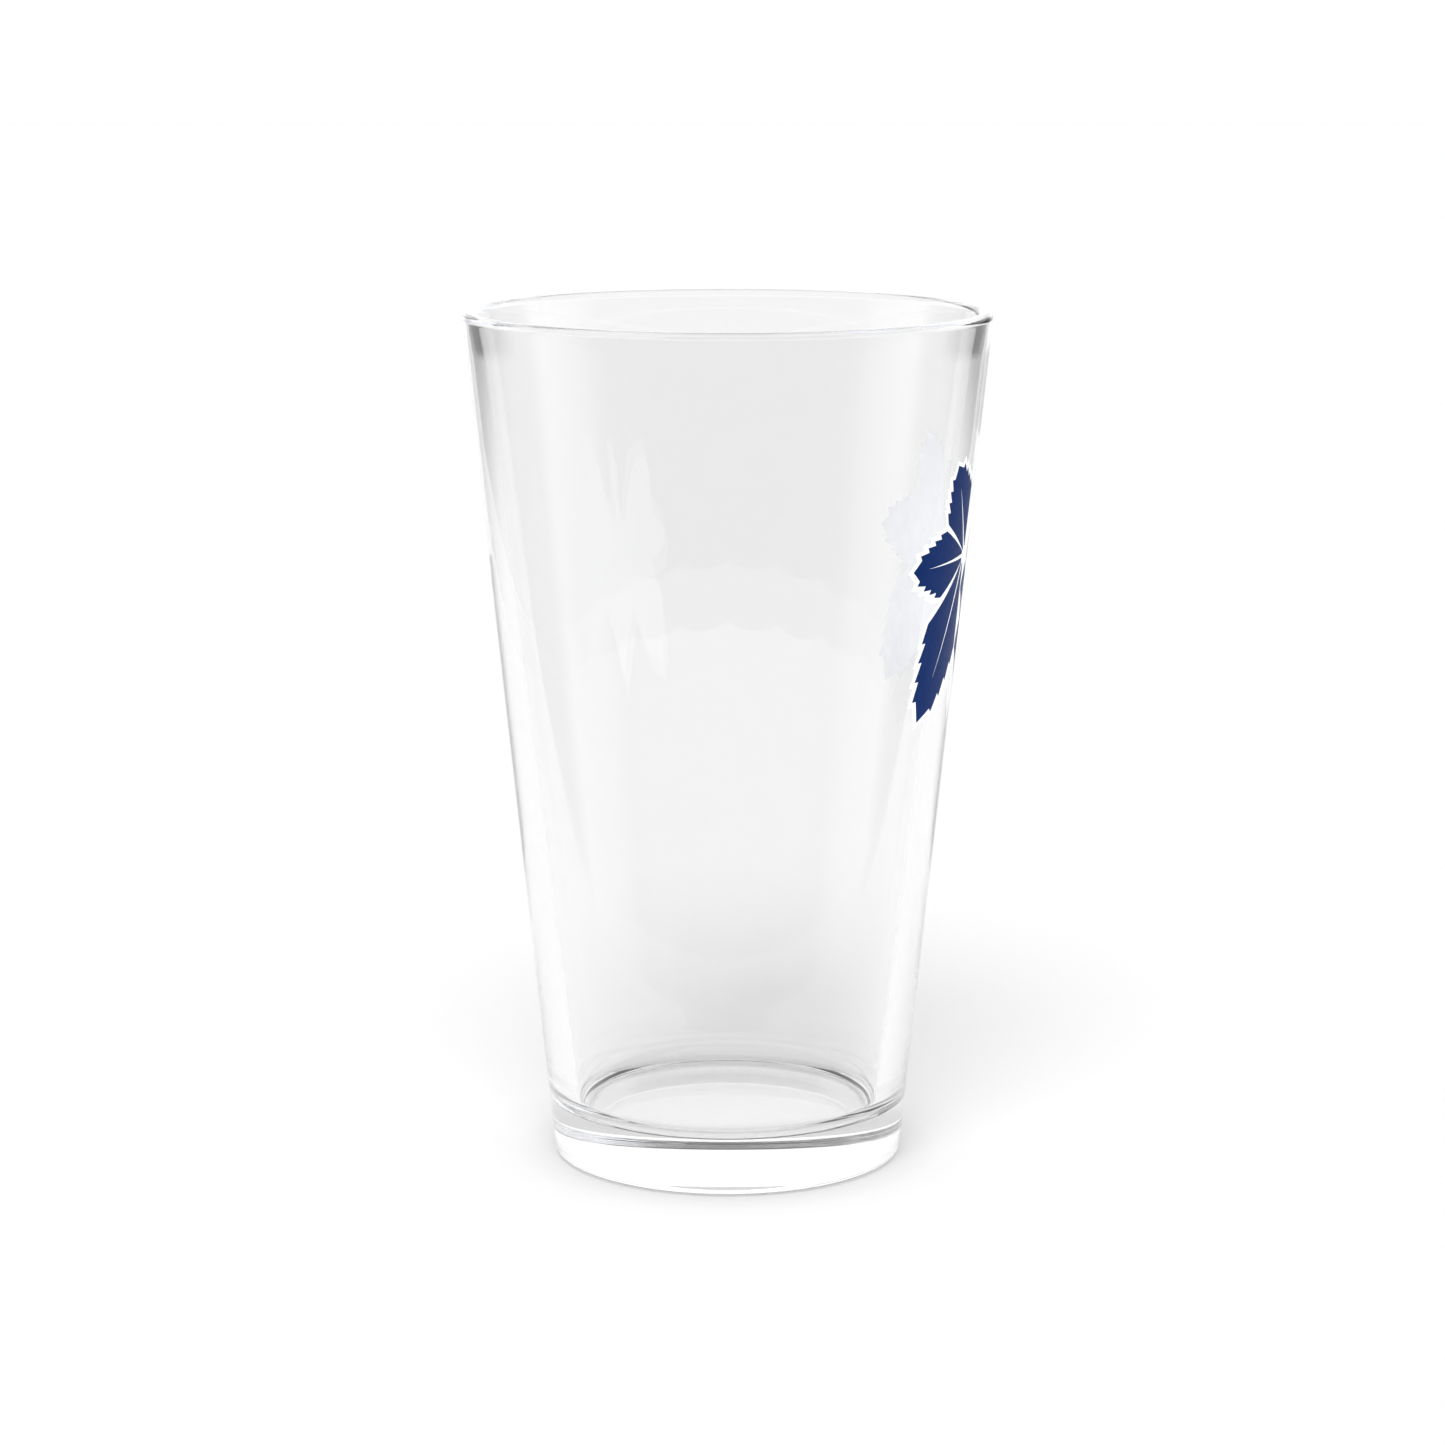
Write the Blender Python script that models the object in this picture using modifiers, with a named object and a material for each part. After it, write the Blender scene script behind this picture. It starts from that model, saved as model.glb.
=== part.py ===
"""A pressed pint tumbler with a two-layer fired-ink print of a hop cone between two leaves.

Metres, +Z up. The origin is the centre of the foot and the print faces +X.
The glass is one solid of revolution. The print is a white film that backs a set of navy
films: every navy film is an island with white showing round it, so each is its own object.
"""

import math

import bmesh
import bpy
from mathutils import Vector

MM = 0.001

# Glass body
HEIGHT = 145.7 * MM
RIM_RADIUS = 44.5 * MM  # outside, where the rounded rim is widest
BASE_RADIUS = 29.9 * MM  # outside, where the straight wall would meet the table
RIM_WALL = 2.8 * MM
BASE_WALL = 4.8 * MM  # just above the fillet of the inner floor
FLOOR_THICKNESS = 9.0 * MM
FLOOR_FILLET = 4.0 * MM
HEEL_RADIUS = 1.5 * MM
FOOT_RING = 5.4 * MM  # width of the flat ring that the glass stands on
RECESS_DEPTH = 0.25 * MM  # rise of the hollow under the base

# Ink films
INK_GAP = 0.05 * MM  # clearance under each film
INK_FILM = 0.10 * MM
PRINT_BELOW_RIM = 49.0 * MM  # from the rim down to the middle of the print
UNDERPRINT_MARGIN = 0.7 * MM  # white that shows outside the navy
VEIN_WIDTH = 0.7 * MM  # white line at the root of each lobe

# Hop cone: rows of overlapping bracts, counted from the top
BRACT_ROWS = (2, 3, 2, 3, 2, 1)
BRACT_PITCH = 6.3 * MM
BRACT_DROP = 5.0 * MM  # from one row to the next
BRACT_SHRINK = 0.86  # leaves the white lines between the bracts
CONE_TOP = 13.0 * MM  # above the middle of the print
ROW_TAPER = (0.90, 1.0, 1.0, 0.92, 0.80, 0.66)

# Leaf: three toothed lobes that spread from one root
LEAF_GAP = 0.9 * MM  # from the widest row of bracts out to the root
LEAF_DROP = 4.0 * MM  # from the top of the cone down to the root
LOBES = {  # direction in degrees, length, share of the length where it is widest, spread in degrees
    "upper": (62, 18.0 * MM, 0.56, 29),
    "middle": (-2, 17.2 * MM, 0.56, 30),
    "lower": (-66, 29.0 * MM, 0.48, 27),
}
LOBE_START = 1.4 * MM  # from the root to the nearest navy of each lobe
VEIN_REACH = 0.82  # share of the lobe that its vein runs along
LOBE_FULLNESS = 0.6  # below 1 the sides bulge between the widest place and the tip
LOBE_TEETH = 4
TOOTH_DEPTH = 0.8 * MM

STEM_LENGTH = 10.5 * MM
STEM_WIDTH = 2.2 * MM

# Facets
TURN_STEPS = 96
ARC_STEPS = 8
OGEE_STEPS = 8
SHARPEST_MITRE = 0.5  # keeps a sharp corner's margin under twice the width

GLASS_COLOUR = (0.93, 0.95, 0.95, 1.0)
WHITE_INK = (0.90, 0.91, 0.92, 1.0)
NAVY_INK = (0.010, 0.036, 0.150, 1.0)

# Worked out from the values above
BEAD_RADIUS = RIM_WALL / 2
BEAD_LEVEL = HEIGHT - BEAD_RADIUS
OUTER_SLOPE = (RIM_RADIUS - BASE_RADIUS) / BEAD_LEVEL
OUTER_LEAN = math.atan(OUTER_SLOPE)
FILLET_LEVEL = FLOOR_THICKNESS + FLOOR_FILLET
PRINT_LEVEL = HEIGHT - PRINT_BELOW_RIM
ROW_WIDTHS = [(count - 1 + BRACT_SHRINK) * taper for count, taper in zip(BRACT_ROWS, ROW_TAPER)]
LEAF_ROOT = (max(ROW_WIDTHS) * BRACT_PITCH / 2 + LEAF_GAP, CONE_TOP - LEAF_DROP)


def outer_radius(z):
    """Outside radius of the straight wall at height z."""
    return BASE_RADIUS + OUTER_SLOPE * z


INNER_RIM = RIM_RADIUS - RIM_WALL
INNER_BASE = outer_radius(FILLET_LEVEL) - BASE_WALL
INNER_SLOPE = (INNER_RIM - INNER_BASE) / (BEAD_LEVEL - FILLET_LEVEL)
INNER_LEAN = math.atan(INNER_SLOPE)


def arc(centre, radius, start, end, steps=ARC_STEPS):
    """Points on a circle of the (radius, height) plane, angles in radians."""
    angles = (start + (end - start) * i / steps for i in range(steps + 1))
    return [(centre[0] + radius * math.cos(a), centre[1] + radius * math.sin(a)) for a in angles]


def fillet_centre(radius_at, level, lean, fillet):
    """Centre of an arc that meets a leaning wall and the level plane one fillet below."""
    return radius_at - fillet / math.cos(lean), level


def glass_profile():
    """From the middle of the inner floor, over the rim and down the outside to the recess."""
    floor = fillet_centre(INNER_BASE, FILLET_LEVEL, INNER_LEAN, FLOOR_FILLET)
    heel = fillet_centre(outer_radius(HEEL_RADIUS), HEEL_RADIUS, OUTER_LEAN, HEEL_RADIUS)
    recess_radius = heel[0] - FOOT_RING
    dome = (recess_radius**2 + RECESS_DEPTH**2) / (2 * RECESS_DEPTH)
    half_angle = math.asin(recess_radius / dome)
    top = math.pi / 2
    points = [(0, FLOOR_THICKNESS)]
    points += arc(floor, FLOOR_FILLET, -top, -INNER_LEAN)
    points += arc((RIM_RADIUS - BEAD_RADIUS, BEAD_LEVEL), BEAD_RADIUS, math.pi, 0)
    points += arc(heel, HEEL_RADIUS, -OUTER_LEAN, -top)
    points += arc((0, RECESS_DEPTH - dome), dome, top - half_angle, top)
    points[-1] = (0, RECESS_DEPTH)
    return points


def band_profile(inner_offset, outer_offset, low, high):
    """A closed loop that runs down the outside of a thin conical band round the wall."""
    return [
        (outer_radius(high) + outer_offset, high),
        (outer_radius(low) + outer_offset, low),
        (outer_radius(low) + inner_offset, low),
        (outer_radius(high) + inner_offset, high),
    ]


def lobe_outline(direction, length, widest, spread):
    """A toothed lobe that a white vein splits from its root to near its tip."""
    flare = math.tan(math.radians(spread))
    half_width = length * widest * flare
    edge = [(LOBE_START, LOBE_START * flare), (length * widest, half_width)]
    for tooth in range(1, LOBE_TEETH + 1):
        share = tooth / (LOBE_TEETH + 1)
        along = length * (widest + (1 - widest) * share)
        width = half_width * (1 - share) ** LOBE_FULLNESS
        edge += [(along + TOOTH_DEPTH / 2, width + TOOTH_DEPTH / 2), (along, width - TOOTH_DEPTH / 2)]
    vein = [(LOBE_START, VEIN_WIDTH / 2), (length * VEIN_REACH, 0), (LOBE_START, -VEIN_WIDTH / 2)]
    outline = vein + [(along, -width) for along, width in edge] + [(length, 0)] + edge[::-1]
    cos, sin = math.cos(math.radians(direction)), math.sin(math.radians(direction))
    return [(LEAF_ROOT[0] + a * cos - b * sin, LEAF_ROOT[1] + a * sin + b * cos) for a, b in outline]


def mirrored(outline):
    """The same outline on the other side of the print's middle line."""
    return [(-across, up) for across, up in reversed(outline)]


def bract_outline(column, row):
    """An ogee scale: round shoulders that narrow to a hanging tip."""
    half_width = BRACT_PITCH / 2 * ROW_TAPER[row] * BRACT_SHRINK
    half_height = BRACT_DROP * BRACT_SHRINK
    middle = column * BRACT_PITCH * ROW_TAPER[row]
    level = CONE_TOP - BRACT_DROP * (row + 1)
    right = [(0, -half_height)]
    for i in range(OGEE_STEPS - 1, -OGEE_STEPS, -1):
        shoulder = math.sin(math.pi / 2 * abs(i) / OGEE_STEPS)
        width = 1 - shoulder if i >= 0 else math.cos(math.pi / 2 * -i / OGEE_STEPS)
        right.append((half_width * width, -half_height * i / OGEE_STEPS))
    loop = right + [(0, half_height)] + [(-across, up) for across, up in reversed(right[1:])]
    return [(middle + across, level + up) for across, up in loop]


def stem_outline():
    """A stalk that widens upwards from the top of the cone."""
    foot, top = CONE_TOP + VEIN_WIDTH, CONE_TOP + STEM_LENGTH
    low, high = STEM_WIDTH * 0.3, STEM_WIDTH / 2
    return [(-low, foot), (low, foot), (high, top), (-high, top - STEM_WIDTH / 4)]


def navy_outlines():
    """Every navy island, anticlockwise about the middle of the print, by node name."""
    islands = {"navy_stem": stem_outline()}
    for row, count in enumerate(BRACT_ROWS):
        for i in range(count):
            islands[f"navy_bract_{row + 1}{'abc'[i]}"] = bract_outline(i - (count - 1) / 2, row)
    for name, lobe in LOBES.items():
        outline = lobe_outline(*lobe)
        islands[f"navy_leaf_{name}_right"] = outline
        islands[f"navy_leaf_{name}_left"] = mirrored(outline)
    return islands


def grown(outline, margin):
    """An anticlockwise outline moved outwards by the margin, its corners mitred."""
    corners = [Vector(point) for point in outline]
    moved = []
    for before, here, after in zip(corners[-1:] + corners[:-1], corners, corners[1:] + corners[:1]):
        first, second = (here - before).normalized(), (after - here).normalized()
        out = Vector((first.y + second.y, -first.x - second.x)).normalized()
        mitre = max(out.dot(Vector((first.y, -first.x))), SHARPEST_MITRE)
        moved.append(tuple(here + out * margin / mitre))
    return moved


def ray_reach(origin, angle, outline):
    """Distance from origin at which a ray last crosses a closed outline, or 0."""
    cos, sin = math.cos(angle), math.sin(angle)
    reach = 0.0
    for (ax, ay), (bx, by) in zip(outline, outline[1:] + outline[:1]):
        ax, ay, bx, by = ax - origin[0], ay - origin[1], bx - origin[0], by - origin[1]
        side_a, side_b = ay * cos - ax * sin, by * cos - bx * sin
        if (side_a > 0) == (side_b > 0):
            continue
        share = side_a / (side_a - side_b)
        reach = max(reach, (ax + (bx - ax) * share) * cos + (ay + (by - ay) * share) * sin)
    return reach


def underprint_outline():
    """The outer edge of all the grown navy islands, as seen from a point inside the cone."""
    eye = (0.0, CONE_TOP - 2 * BRACT_DROP)
    shapes = [grown(outline, UNDERPRINT_MARGIN) for outline in navy_outlines().values()]
    nudge = 1e-3  # radians: a corner is met from both sides, so an edge that points at the eye is kept
    angles = set()
    for x, y in (point for shape in shapes for point in shape):
        angle = math.atan2(y - eye[1], x - eye[0])
        angles |= {angle - nudge, angle + nudge}
    outline = []
    for angle in sorted(angles):
        reach = max(ray_reach(eye, angle, shape) for shape in shapes)
        outline.append((eye[0] + reach * math.cos(angle), eye[1] + reach * math.sin(angle)))
    return thinned(outline, UNDERPRINT_MARGIN / 8)


def thinned(outline, slack):
    """The outline without the points that lie within the slack of a line between kept points."""
    kept = [outline[0]]
    start = 0
    for end in range(2, len(outline)):
        ax, ay = outline[start]
        bx, by = outline[end]
        span = math.hypot(bx - ax, by - ay)
        skipped = outline[start + 1 : end]
        if any(abs((bx - ax) * (y - ay) - (by - ay) * (x - ax)) > slack * span for x, y in skipped):
            start = end - 1
            kept.append(outline[start])
    return kept


def clear_scene():
    for obj in list(bpy.data.objects):
        bpy.data.objects.remove(obj)


def collection(name):
    made = bpy.data.collections.new(name)
    bpy.context.scene.collection.children.link(made)
    return made


def material(name, colour, roughness, transmission=0.0):
    made = bpy.data.materials.new(name)
    made.use_nodes = True
    shader = made.node_tree.nodes["Principled BSDF"]
    shader.inputs["Base Color"].default_value = colour
    shader.inputs["Roughness"].default_value = roughness
    shader.inputs["Metallic"].default_value = 0.0
    shader.inputs["Transmission Weight"].default_value = transmission
    made.diffuse_color = colour
    return made


def turned(name, profile, closed, home, look):
    """A profile of the (x, z) plane turned round Z."""
    mesh = bpy.data.meshes.new(name)
    edges = [(i, i + 1) for i in range(len(profile) - 1)]
    if closed:
        edges.append((len(profile) - 1, 0))
    mesh.from_pydata([(radius, 0, z) for radius, z in profile], edges, [])
    obj = bpy.data.objects.new(name, mesh)
    home.objects.link(obj)
    mesh.materials.append(look)
    screw = obj.modifiers.new("Turn", "SCREW")
    screw.axis = "Z"
    screw.steps = screw.render_steps = TURN_STEPS
    screw.use_merge_vertices = True
    screw.merge_threshold = 1e-6
    screw.use_smooth_shade = True
    return obj


def punch(name, outline, home):
    """A prism of the outline, seen from +X, that reaches from the axis out past the wall."""
    curve = bpy.data.curves.new(name, "CURVE")
    curve.dimensions = "2D"
    curve.fill_mode = "BOTH"
    curve.extrude = RIM_RADIUS * 0.6
    spline = curve.splines.new("POLY")
    spline.points.add(len(outline) - 1)
    for point, (across, up) in zip(spline.points, outline):
        point.co = (across, up, 0, 1)
    spline.use_cyclic_u = True
    guide = bpy.data.objects.new(name + "_outline", curve)
    home.objects.link(guide)
    guide.rotation_euler = (math.pi / 2, 0, math.pi / 2)
    guide.location = (curve.extrude, 0, PRINT_LEVEL)
    return solid_copy(guide, name, home)


def solid_copy(guide, name, home):
    """The curve as a welded mesh that a Boolean can use; the curve is removed."""
    bpy.context.view_layer.update()
    evaluated = guide.evaluated_get(bpy.context.evaluated_depsgraph_get())
    mesh = bpy.data.meshes.new_from_object(evaluated)
    welded = bmesh.new()
    welded.from_mesh(mesh)
    bmesh.ops.remove_doubles(welded, verts=welded.verts, dist=1e-6)
    bmesh.ops.recalc_face_normals(welded, faces=welded.faces)
    welded.to_mesh(mesh)
    welded.free()
    obj = bpy.data.objects.new(name, mesh)
    obj.matrix_world = guide.matrix_world
    home.objects.link(obj)
    bpy.data.objects.remove(guide)
    obj.hide_render = True
    obj.display_type = "WIRE"
    return obj


def film(name, outline, level, look, parts, cutters):
    """A curved film of ink on the wall; level 0 lies on the glass and level 1 on level 0."""
    inner = INK_GAP + level * (INK_GAP + INK_FILM)
    low = PRINT_LEVEL + min(up for _, up in outline) - INK_FILM
    high = PRINT_LEVEL + max(up for _, up in outline) + INK_FILM
    obj = turned(name, band_profile(inner, inner + INK_FILM, low, high), True, parts, look)
    cut = obj.modifiers.new("Outline", "BOOLEAN")
    cut.operation = "INTERSECT"
    cut.solver = "EXACT"
    cut.object = punch(name + "_punch", outline, cutters)
    return obj


def main():
    clear_scene()
    parts = collection("pint_glass")
    cutters = collection("cutters")
    glass = material("clear_glass", GLASS_COLOUR, 0.02, transmission=1.0)
    white = material("white_ink", WHITE_INK, 0.35)
    navy = material("navy_ink", NAVY_INK, 0.35)
    turned("glass_tumbler", glass_profile(), False, parts, glass)
    film("white_underprint", underprint_outline(), 0, white, parts, cutters)
    for name, outline in navy_outlines().items():
        film(name, outline, 1, navy, parts, cutters)


main()
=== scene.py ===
import math

import bmesh
import bpy
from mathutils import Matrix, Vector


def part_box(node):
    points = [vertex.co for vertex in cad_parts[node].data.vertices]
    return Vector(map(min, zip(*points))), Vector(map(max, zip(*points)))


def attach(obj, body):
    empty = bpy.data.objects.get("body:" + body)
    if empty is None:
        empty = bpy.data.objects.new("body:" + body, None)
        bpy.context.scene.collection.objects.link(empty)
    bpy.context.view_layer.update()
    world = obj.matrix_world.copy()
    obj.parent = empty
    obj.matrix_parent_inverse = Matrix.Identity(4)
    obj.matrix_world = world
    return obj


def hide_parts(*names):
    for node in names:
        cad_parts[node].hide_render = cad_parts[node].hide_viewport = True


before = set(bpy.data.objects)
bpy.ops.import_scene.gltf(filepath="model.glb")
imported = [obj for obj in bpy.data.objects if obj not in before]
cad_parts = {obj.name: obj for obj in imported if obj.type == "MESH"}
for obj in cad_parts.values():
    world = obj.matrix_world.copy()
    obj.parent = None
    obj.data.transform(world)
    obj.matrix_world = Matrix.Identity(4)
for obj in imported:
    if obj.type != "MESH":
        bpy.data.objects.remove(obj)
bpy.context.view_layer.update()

MM = 0.001

# Glass body: the same sizes as the CAD part
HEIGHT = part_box("glass_tumbler")[1].z
RIM_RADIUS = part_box("glass_tumbler")[1].x
BASE_RADIUS = 29.9 * MM
RIM_WALL = 2.8 * MM
BASE_WALL = 4.8 * MM
FLOOR_THICKNESS = 9.0 * MM
FLOOR_FILLET = 4.0 * MM
HEEL_WIDTH = 1.9 * MM
HEEL_HEIGHT = 1.3 * MM
FOOT_RING = 5.4 * MM
RECESS_DEPTH = 0.25 * MM
BEAD_RADIUS = RIM_WALL / 2
BEAD_LEVEL = HEIGHT - BEAD_RADIUS
OUTER_SLOPE = (RIM_RADIUS - BASE_RADIUS) / BEAD_LEVEL
TURN_STEPS = 256
ARC_STEPS = 24
WALL_STEPS = 24
FLOOR_STEPS = 6
MERGE_DISTANCE = 1e-6

# Ink films: how far each face stands out from the glass, inner face first
FILM_FACES = {"white_underprint": (-0.02 * MM, 0.03 * MM), "navy": (0.01 * MM, 0.05 * MM)}
CAD_FILM_MIDDLE = {"white_underprint": 0.10 * MM, "navy": 0.25 * MM}
CAD_FILM_SLACK = 0.01 * MM
FILM_CUT = math.radians(0.9)  # angle between the cuts that let a film bend
CUT_TOLERANCE = 1e-7

# Glass: colour, refraction, and the faint waves of a pressed wall
GLASS_COLOUR = (0.965, 0.965, 0.965, 1)
GLASS_IOR = 1.52
WAVE_SCALE = 40
WAVE_STRETCH = (1, 1, 0.35)
WAVE_DEPTH = 0.006 * MM

# Fired ink: each colour with the darker one of its mottle, and the surface
WHITE_INK = (0.86, 0.87, 0.89, 1), (0.80, 0.81, 0.84, 1)
NAVY_INK = (0.0035, 0.020, 0.100, 1), (0.0025, 0.016, 0.086, 1)
INK_SPECULAR = 0.03
INK_ROUGHNESS = (0.28, 0.42)
MOTTLE_SCALE = 450
PEEL_SCALE = 2600
PEEL_DEPTH = 0.01 * MM
NOISE_RANGE = (0.3, 0.7)  # where nearly all values of a noise texture lie

# Camera
CAMERA_PLACE = (-0.84 * MM, -0.6667, 0.2024)
CAMERA_PITCH = math.radians(10.806)
SENSOR_WIDTH = 36  # mm, as the lens
LENS = 98.84

# Floor: half of its outline as (x, y), and white surroundings take over where it ends
FLOOR_OUTLINE = (
    (0.0, -0.3), (0.115, -0.277), (0.212, -0.212), (0.277, -0.115),
    (0.3, 0.0), (0.3, 0.6), (1.9, 4.5),
)
FLOOR_DROP = 0.05 * MM

# Sky: brightness of each part
SKY_TOP = 1.15
SKY_ZENITH = 0.08
SKY_PANEL = 1.25
SKY_GAP = 0.25
SKY_BELOW = 0.95
SKY_FRONT = 0.10
SKY_ON_FLOOR = 0.2  # share of the sky's light that falls on dull surfaces
# Sky: where each part starts and is full, in parts of a unit direction (x right, y away, z up)
GAP_EDGE = (0.45, 0.85)  # nearness to a corner between two panels, 1 in the corner
TOP_EDGE = (0.08, 0.22)
ZENITH_EDGE = (0.42, 0.6)
BELOW_EDGE = (-0.03, 0.02)
STEEP_EDGE = (-0.24, -0.14)
FRONT_Y_EDGE = (-0.9, 0.3)
FRONT_Z_EDGE = (0.1, 0.3)
NEVER_ZERO = 1e-4

# Floor shade: it comes out just over full white where nothing shades it
FLOOR_SHADE = 0.54
# Distance from the axis and tone: painted light below the base, where light gathers under the
# glass, and a painted contact shadow round the foot
FLOOR_PAINTED_LIGHT_AND_SHADOW = (
    (26 * MM, 0.62), (29 * MM, 0.80 * FLOOR_SHADE), (32 * MM, 0.88 * FLOOR_SHADE),
    (37 * MM, 0.96 * FLOOR_SHADE), (46 * MM, FLOOR_SHADE),
)

# Suns: angles in degrees, azimuth from the front towards the right
KEY_STRENGTH = 1.8
KEY_AZIMUTH = -8
KEY_ELEVATION = 54
SUN_SPREAD = 30
FILL_STRENGTH = 3.6
LEFT_SHARE = 0.8
LEFT_AZIMUTH = -80
RIGHT_AZIMUTH = 50
FILL_ELEVATION = 35

BOUNCES = 96  # light that follows the wall from rim to base turns many times


def outer_radius(z):
    """Outside radius of the straight wall at height z."""
    return BASE_RADIUS + OUTER_SLOPE * z


def arc(centre, radius, start, end, steps=ARC_STEPS):
    """Points on a circle of the (radius, height) plane, angles in radians."""
    angles = (start + (end - start) * i / steps for i in range(steps + 1))
    x, y = centre
    return [(x + radius * math.cos(a), y + radius * math.sin(a)) for a in angles]


def straight(start, end, steps=WALL_STEPS):
    """Points between two points of the (radius, height) plane, ends left out."""
    shares = (i / steps for i in range(1, steps))
    reach, rise = end[0] - start[0], end[1] - start[1]
    return [(start[0] + reach * s, start[1] + rise * s) for s in shares]


def glass_profile():
    """From the middle of the inner floor, over the rim and down the outside to the recess."""
    top = math.pi / 2
    fillet_level = FLOOR_THICKNESS + FLOOR_FILLET
    inner_base = outer_radius(fillet_level) - BASE_WALL
    inner_lean = math.atan((RIM_RADIUS - RIM_WALL - inner_base) / (BEAD_LEVEL - fillet_level))
    outer_lean = math.atan(OUTER_SLOPE)
    floor_centre = (inner_base - FLOOR_FILLET / math.cos(inner_lean), fillet_level)
    heel_centre = (outer_radius(HEEL_HEIGHT) - HEEL_WIDTH, HEEL_HEIGHT)
    recess_radius = heel_centre[0] - FOOT_RING
    fillet = arc(floor_centre, FLOOR_FILLET, -top, -inner_lean)
    bead_centre = (RIM_RADIUS - BEAD_RADIUS, BEAD_LEVEL)
    bead = arc(bead_centre, BEAD_RADIUS, math.pi + inner_lean, -outer_lean)
    heel = [
        (heel_centre[0] + HEEL_WIDTH * c, heel_centre[1] + HEEL_HEIGHT * s)
        for c, s in arc((0, 0), 1, 0, -top)
    ]
    dome = (recess_radius**2 + RECESS_DEPTH**2) / (2 * RECESS_DEPTH)
    recess = arc((0, RECESS_DEPTH - dome), dome, top - math.asin(recess_radius / dome), top)
    recess[-1] = (0, RECESS_DEPTH)
    floor = straight((0, FLOOR_THICKNESS), fillet[0], FLOOR_STEPS)
    walls = straight(fillet[-1], bead[0]), straight(bead[-1], heel[0])
    return [(0, FLOOR_THICKNESS)] + floor + fillet + walls[0] + bead + walls[1] + heel + recess


def made_object(name, mesh, look):
    """A piece of the glass, linked into the scene with its look in its one material slot."""
    obj = bpy.data.objects.new(name, mesh)
    bpy.context.scene.collection.objects.link(obj)
    mesh.materials.clear()
    mesh.materials.append(look)
    return obj


def make_glass(look):
    """The glass body turned round Z from its profile."""
    shape = bmesh.new()
    points = [shape.verts.new((radius, 0, z)) for radius, z in glass_profile()]
    edges = [shape.edges.new(pair) for pair in zip(points, points[1:])]
    bmesh.ops.spin(
        shape, geom=points + edges, cent=(0, 0, 0), axis=(0, 0, 1), angle=math.tau,
        steps=TURN_STEPS, use_merge=True,
    )
    bmesh.ops.remove_doubles(shape, verts=shape.verts, dist=MERGE_DISTANCE)
    bmesh.ops.recalc_face_normals(shape, faces=shape.faces)
    mesh = bpy.data.meshes.new("glass_body")
    shape.to_mesh(mesh)
    shape.free()
    mesh.shade_smooth()
    obj = made_object("glass_body", mesh, look)
    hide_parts("glass_tumbler")
    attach(obj, "root")
    return obj


def film_normals(mesh, kind):
    """Normals of the wall's own cone, so that long thin faces don't show as streaks."""
    normals = []
    for vert in mesh.vertices:
        x, y, z = vert.co
        radius = math.hypot(x, y)
        side = 1 if radius - outer_radius(z) > sum(FILM_FACES[kind]) / 2 else -1
        normals.append((side * x / radius, side * y / radius, -side * OUTER_SLOPE))
    return normals


def make_film(node, look):
    """The CAD film of this name, bent smoothly round the glass and thinned to real ink."""
    kind = node if node in FILM_FACES else "navy"
    shape = bmesh.new()
    shape.from_mesh(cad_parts[node].data)
    bmesh.ops.remove_doubles(shape, verts=shape.verts, dist=MERGE_DISTANCE)
    reach = [math.atan2(v.co.y, v.co.x) for v in shape.verts]
    for i in range(math.ceil(min(reach) / FILM_CUT), math.floor(max(reach) / FILM_CUT) + 1):
        normal = (-math.sin(i * FILM_CUT), math.cos(i * FILM_CUT), 0)
        geom = shape.verts[:] + shape.edges[:] + shape.faces[:]
        bmesh.ops.bisect_plane(
            shape, geom=geom, dist=CUT_TOLERANCE, plane_co=(0, 0, 0), plane_no=normal
        )
    for vert in shape.verts:
        x, y, z = vert.co
        radius = math.hypot(x, y)
        outer = radius - outer_radius(z) > CAD_FILM_MIDDLE[kind] - CAD_FILM_SLACK
        wanted = outer_radius(z) + FILM_FACES[kind][outer]
        vert.co = (x * wanted / radius, y * wanted / radius, z)
    bmesh.ops.recalc_face_normals(shape, faces=shape.faces)
    mesh = bpy.data.meshes.new(node + "_ink")
    shape.to_mesh(mesh)
    shape.free()
    mesh.shade_smooth()
    mesh.normals_split_custom_set_from_vertices(film_normals(mesh, kind))
    obj = made_object(node + "_ink", mesh, look)
    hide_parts(node)
    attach(obj, "root")
    return obj


def new_look(name):
    """A material with its node tree, its Principled shader and a place to add nodes."""
    look = bpy.data.materials.new(name)
    look.use_nodes = True
    nodes = look.node_tree.nodes
    return look, nodes, look.node_tree.links, nodes["Principled BSDF"]


def noise(nodes, links, scale, detail=3.0, stretch=(1, 1, 1)):
    """A noise texture on the object's own coordinates, in features per metre."""
    where = nodes.new("ShaderNodeTexCoord")
    place = nodes.new("ShaderNodeMapping")
    place.inputs["Scale"].default_value = stretch
    made = nodes.new("ShaderNodeTexNoise")
    made.inputs["Scale"].default_value = scale
    made.inputs["Detail"].default_value = detail
    links.new(where.outputs["Object"], place.inputs["Vector"])
    links.new(place.outputs["Vector"], made.inputs["Vector"])
    return made


def spread(nodes, links, source, low, high):
    """The texture's value moved into the range from low to high."""
    made = nodes.new("ShaderNodeMapRange")
    made.inputs["From Min"].default_value = NOISE_RANGE[0]
    made.inputs["From Max"].default_value = NOISE_RANGE[1]
    made.inputs["To Min"].default_value = low
    made.inputs["To Max"].default_value = high
    links.new(source, made.inputs["Value"])
    return made.outputs["Result"]


def bump(nodes, links, source, shader, distance):
    """Relief of this depth, in metres, from the texture's value."""
    made = nodes.new("ShaderNodeBump")
    made.inputs["Strength"].default_value = 1.0
    made.inputs["Distance"].default_value = distance
    links.new(source, made.inputs["Height"])
    links.new(made.outputs["Normal"], shader.inputs["Normal"])


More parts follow.
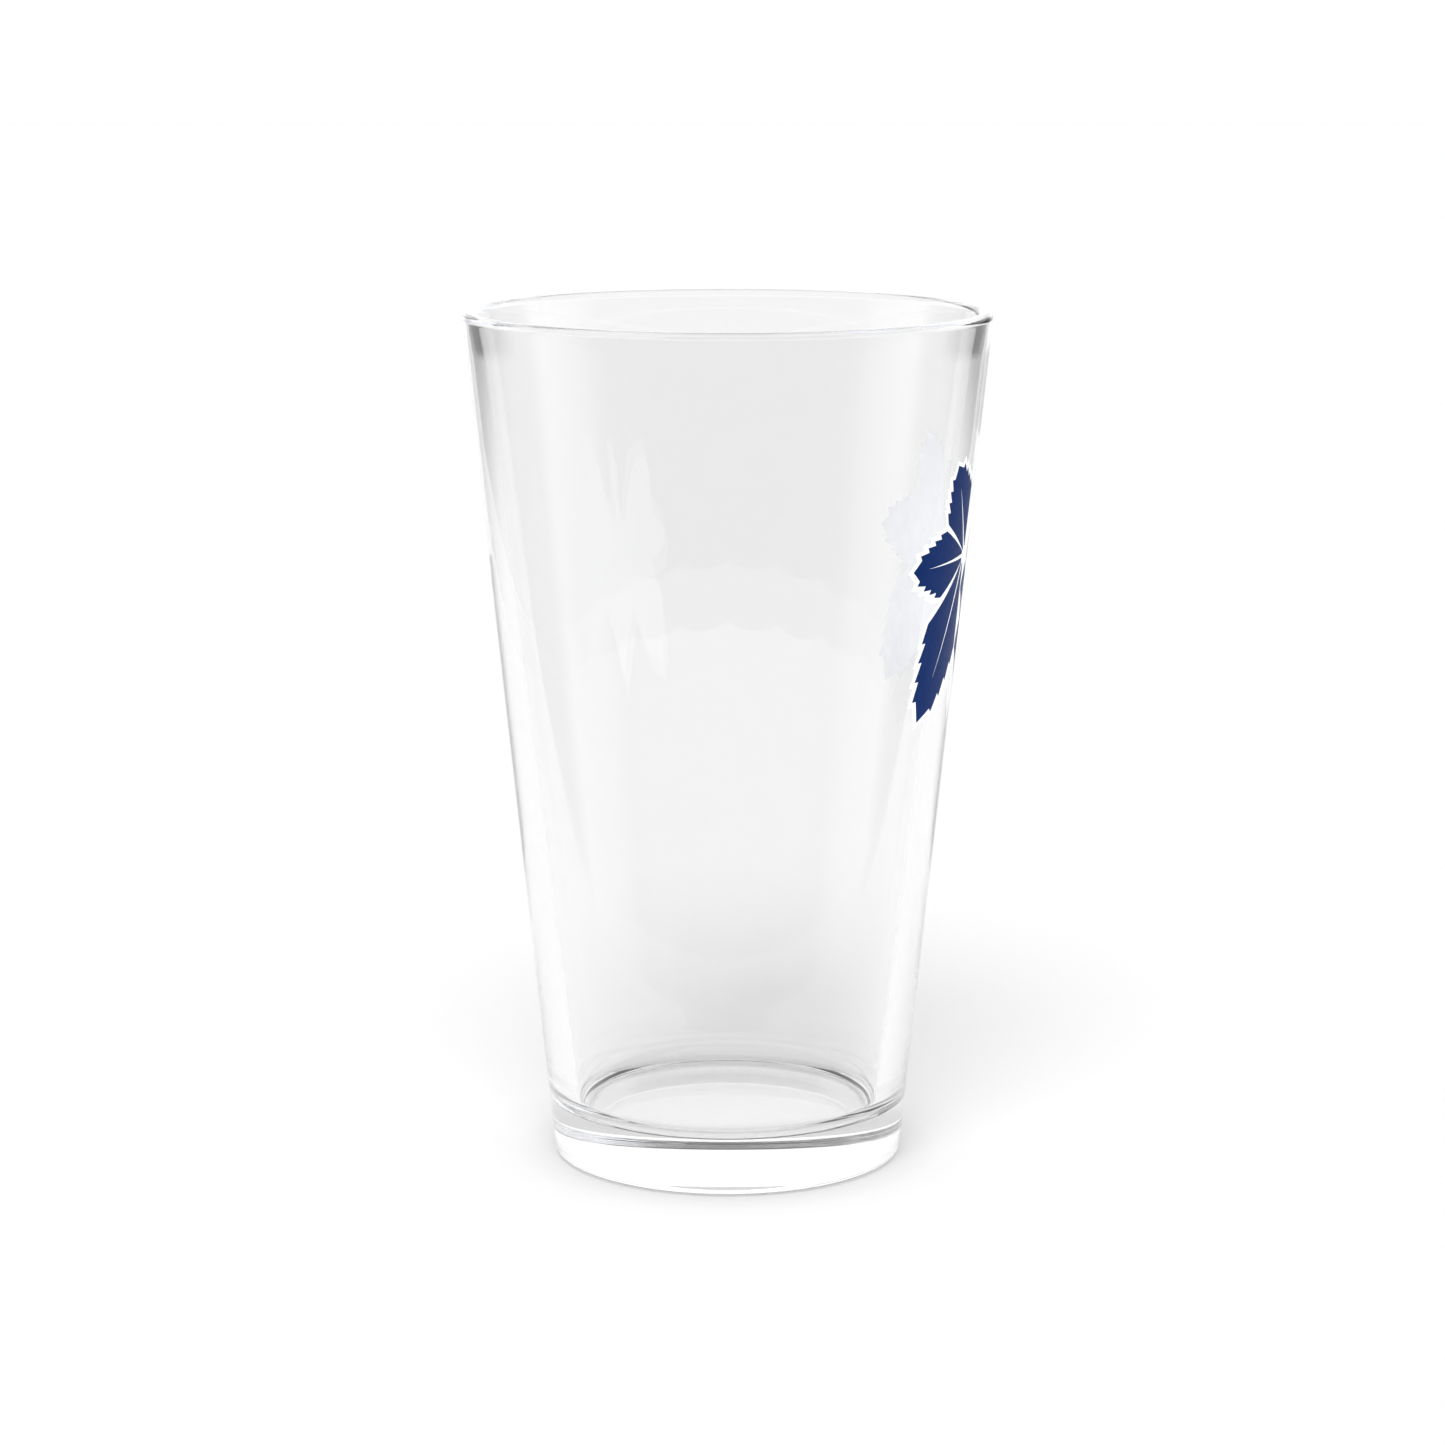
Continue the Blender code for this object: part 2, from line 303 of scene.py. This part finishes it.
def glass_look():
    """Clear soda-lime glass with the faint waves of a pressed wall."""
    look, nodes, links, shader = new_look("clear_glass_look")
    shader.inputs["Base Color"].default_value = GLASS_COLOUR
    shader.inputs["Transmission Weight"].default_value = 1.0
    shader.inputs["IOR"].default_value = GLASS_IOR
    shader.inputs["Roughness"].default_value = 0.0
    waves = noise(nodes, links, WAVE_SCALE, detail=1.0, stretch=WAVE_STRETCH)
    bump(nodes, links, waves.outputs["Fac"], shader, WAVE_DEPTH)
    return look


def ink_look(name, colour, darker):
    """Fired ceramic ink: even in colour, slightly mottled, with a fine orange-peel surface."""
    look, nodes, links, shader = new_look(name)
    shader.inputs["Specular IOR Level"].default_value = INK_SPECULAR
    mottle = noise(nodes, links, MOTTLE_SCALE, detail=4.0)
    mix = nodes.new("ShaderNodeMix")
    mix.data_type = "RGBA"
    mix.inputs["A"].default_value = colour
    mix.inputs["B"].default_value = darker
    links.new(spread(nodes, links, mottle.outputs["Fac"], 0, 1), mix.inputs["Factor"])
    links.new(mix.outputs["Result"], shader.inputs["Base Color"])
    peel = noise(nodes, links, PEEL_SCALE, detail=2.0)
    roughness = spread(nodes, links, peel.outputs["Fac"], *INK_ROUGHNESS)
    links.new(roughness, shader.inputs["Roughness"])
    bump(nodes, links, peel.outputs["Fac"], shader, PEEL_DEPTH)
    return look


def make_floor():
    """A flat dull floor with painted light below the glass base and a painted contact shadow round
    the foot, toned by distance from the middle of the glass.
    """
    shape = bmesh.new()
    corners = list(FLOOR_OUTLINE) + [(-x, y) for x, y in reversed(FLOOR_OUTLINE[1:])]
    shape.faces.new([shape.verts.new((x, y, -FLOOR_DROP)) for x, y in corners])
    mesh = bpy.data.meshes.new("studio_floor")
    shape.to_mesh(mesh)
    shape.free()
    floor = bpy.data.objects.new("studio_floor", mesh)
    bpy.context.scene.collection.objects.link(floor)
    look, nodes, links, shader = new_look("floor_painted_light_and_shadow_look")
    where = nodes.new("ShaderNodeTexCoord")
    away = nodes.new("ShaderNodeVectorMath")
    away.operation = "LENGTH"
    links.new(where.outputs["Object"], away.inputs[0])
    reach = nodes.new("ShaderNodeMapRange")
    reach.inputs["From Max"].default_value = FLOOR_PAINTED_LIGHT_AND_SHADOW[-1][0]
    links.new(away.outputs["Value"], reach.inputs["Value"])
    # Colour ramp of painted light below the base and painted contact shadow round the foot, by
    # distance from the axis
    painted_tones = nodes.new("ShaderNodeValToRGB")
    stops = painted_tones.color_ramp.elements
    for i, (distance, tone) in enumerate(FLOOR_PAINTED_LIGHT_AND_SHADOW):
        stop = stops[i] if i < 2 else stops.new(1.0)
        stop.position = distance / FLOOR_PAINTED_LIGHT_AND_SHADOW[-1][0]
        stop.color = (tone, tone, tone, 1)
    links.new(reach.outputs["Result"], painted_tones.inputs["Fac"])
    links.new(painted_tones.outputs["Color"], shader.inputs["Base Color"])
    shader.inputs["Roughness"].default_value = 1.0
    shader.inputs["Specular IOR Level"].default_value = 0.0
    mesh.materials.append(look)


def make_world():
    """Bright panels on four sides, a softbox above with a dim zenith, a plain white background.
    Only light that has been reflected sees dark gaps between the panels and a dark front."""
    world = bpy.data.worlds.new("studio")
    bpy.context.scene.world = world
    world.use_nodes = True
    nodes, links = world.node_tree.nodes, world.node_tree.links

    def linked(node, sources):
        for socket, source in zip(node.inputs, sources):
            if isinstance(source, bpy.types.NodeSocket):
                links.new(source, socket)
            else:
                socket.default_value = source
        return node.outputs[0]

    def maths(operation, *sources):
        node = nodes.new("ShaderNodeMath")
        node.operation = operation
        return linked(node, sources)

    def ramp(source, start, end, low, high):
        node = nodes.new("ShaderNodeMapRange")
        node.interpolation_type = "SMOOTHSTEP"
        return linked(node, (source, start, end, low, high))

    split = nodes.new("ShaderNodeSeparateXYZ")
    links.new(nodes.new("ShaderNodeTexCoord").outputs["Generated"], split.inputs["Vector"])
    x, y, z = split.outputs
    depth = maths("ADD", maths("MULTIPLY", y, y), NEVER_ZERO)
    level = maths("ADD", maths("MULTIPLY", x, x), depth)
    twice = maths("MULTIPLY", maths("MULTIPLY", x, y), 2.0)
    corner = maths("ABSOLUTE", maths("DIVIDE", twice, level))
    path = nodes.new("ShaderNodeLightPath")
    mirrored = maths("MINIMUM", path.outputs["Glossy Depth"], 1.0)
    gap = maths("MULTIPLY", ramp(corner, *GAP_EDGE, 0.0, 1.0), mirrored)
    panels = maths("MULTIPLY_ADD", gap, SKY_GAP - SKY_PANEL, SKY_PANEL)
    above = ramp(z, *TOP_EDGE, 0.0, 1.0)
    below = ramp(z, *BELOW_EDGE, 1.0, 0.0)
    steep = ramp(z, *STEEP_EDGE, 1.0, 0.0)
    front = maths("MULTIPLY", ramp(y, *FRONT_Y_EDGE, 1.0, 0.0), ramp(z, *FRONT_Z_EDGE, 1.0, 0.0))
    front = maths("MULTIPLY", mirrored, front)

    def mix(share, first, second):
        return maths("ADD", maths("MULTIPLY", maths("SUBTRACT", second, first), share), first)

    low = mix(below, panels, maths("MINIMUM", panels, SKY_BELOW))
    low = mix(steep, low, SKY_BELOW)
    high = ramp(z, *ZENITH_EDGE, SKY_TOP, SKY_ZENITH)
    high = mix(path.outputs["Is Diffuse Ray"], high, SKY_TOP)
    sky = mix(above, low, high)
    sky = mix(front, sky, SKY_FRONT)
    sky = mix(path.outputs["Is Diffuse Ray"], sky, maths("MULTIPLY", sky, SKY_ON_FLOOR))
    links.new(mix(path.outputs["Is Camera Ray"], sky, 1.0), nodes["Background"].inputs["Strength"])
    nodes["Background"].inputs["Color"].default_value = (1, 1, 1, 1)


def make_sun(name, azimuth, elevation, strength, shadow=True):
    """A distant soft light that lights the floor and the ink but leaves no disc in the glass."""
    data = bpy.data.lights.new(name, "SUN")
    data.energy = strength
    data.angle = math.radians(SUN_SPREAD)
    data.use_shadow = shadow
    obj = bpy.data.objects.new(name, data)
    bpy.context.scene.collection.objects.link(obj)
    turn, lift = math.radians(azimuth), math.radians(elevation)
    towards = (math.sin(turn) * math.cos(lift), -math.cos(turn) * math.cos(lift), math.sin(lift))
    obj.rotation_euler = type(obj.location)(towards).to_track_quat("Z", "Y").to_euler()
    obj.visible_glossy = False
    obj.visible_transmission = False


def make_camera():
    """The camera in front of the glass, looking slightly down."""
    data = bpy.data.cameras.new("camera")
    data.sensor_width = SENSOR_WIDTH
    data.lens = LENS
    obj = bpy.data.objects.new("camera", data)
    bpy.context.scene.collection.objects.link(obj)
    obj.location = CAMERA_PLACE
    obj.rotation_euler = (math.pi / 2 - CAMERA_PITCH, 0, 0)
    bpy.context.scene.camera = obj


def set_light_paths():
    """Colours as the lights make them, and enough bounces for light to follow wall and base."""
    scene = bpy.context.scene
    scene.view_settings.view_transform = "Standard"
    scene.cycles.max_bounces = BOUNCES
    scene.cycles.transmission_bounces = BOUNCES
    scene.cycles.glossy_bounces = BOUNCES


make_glass(glass_look())
make_film("white_underprint", ink_look("white_ink_look", *WHITE_INK))
navy = ink_look("navy_ink_look", *NAVY_INK)
for node in sorted(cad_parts):
    if node.startswith("navy"):
        make_film(node, navy)
make_floor()
make_world()
make_sun("key_light", KEY_AZIMUTH, KEY_ELEVATION, KEY_STRENGTH)
make_sun("left_light", LEFT_AZIMUTH, FILL_ELEVATION, LEFT_SHARE * FILL_STRENGTH, shadow=False)
make_sun("right_light", RIGHT_AZIMUTH, FILL_ELEVATION, FILL_STRENGTH, shadow=False)
make_camera()
set_light_paths()
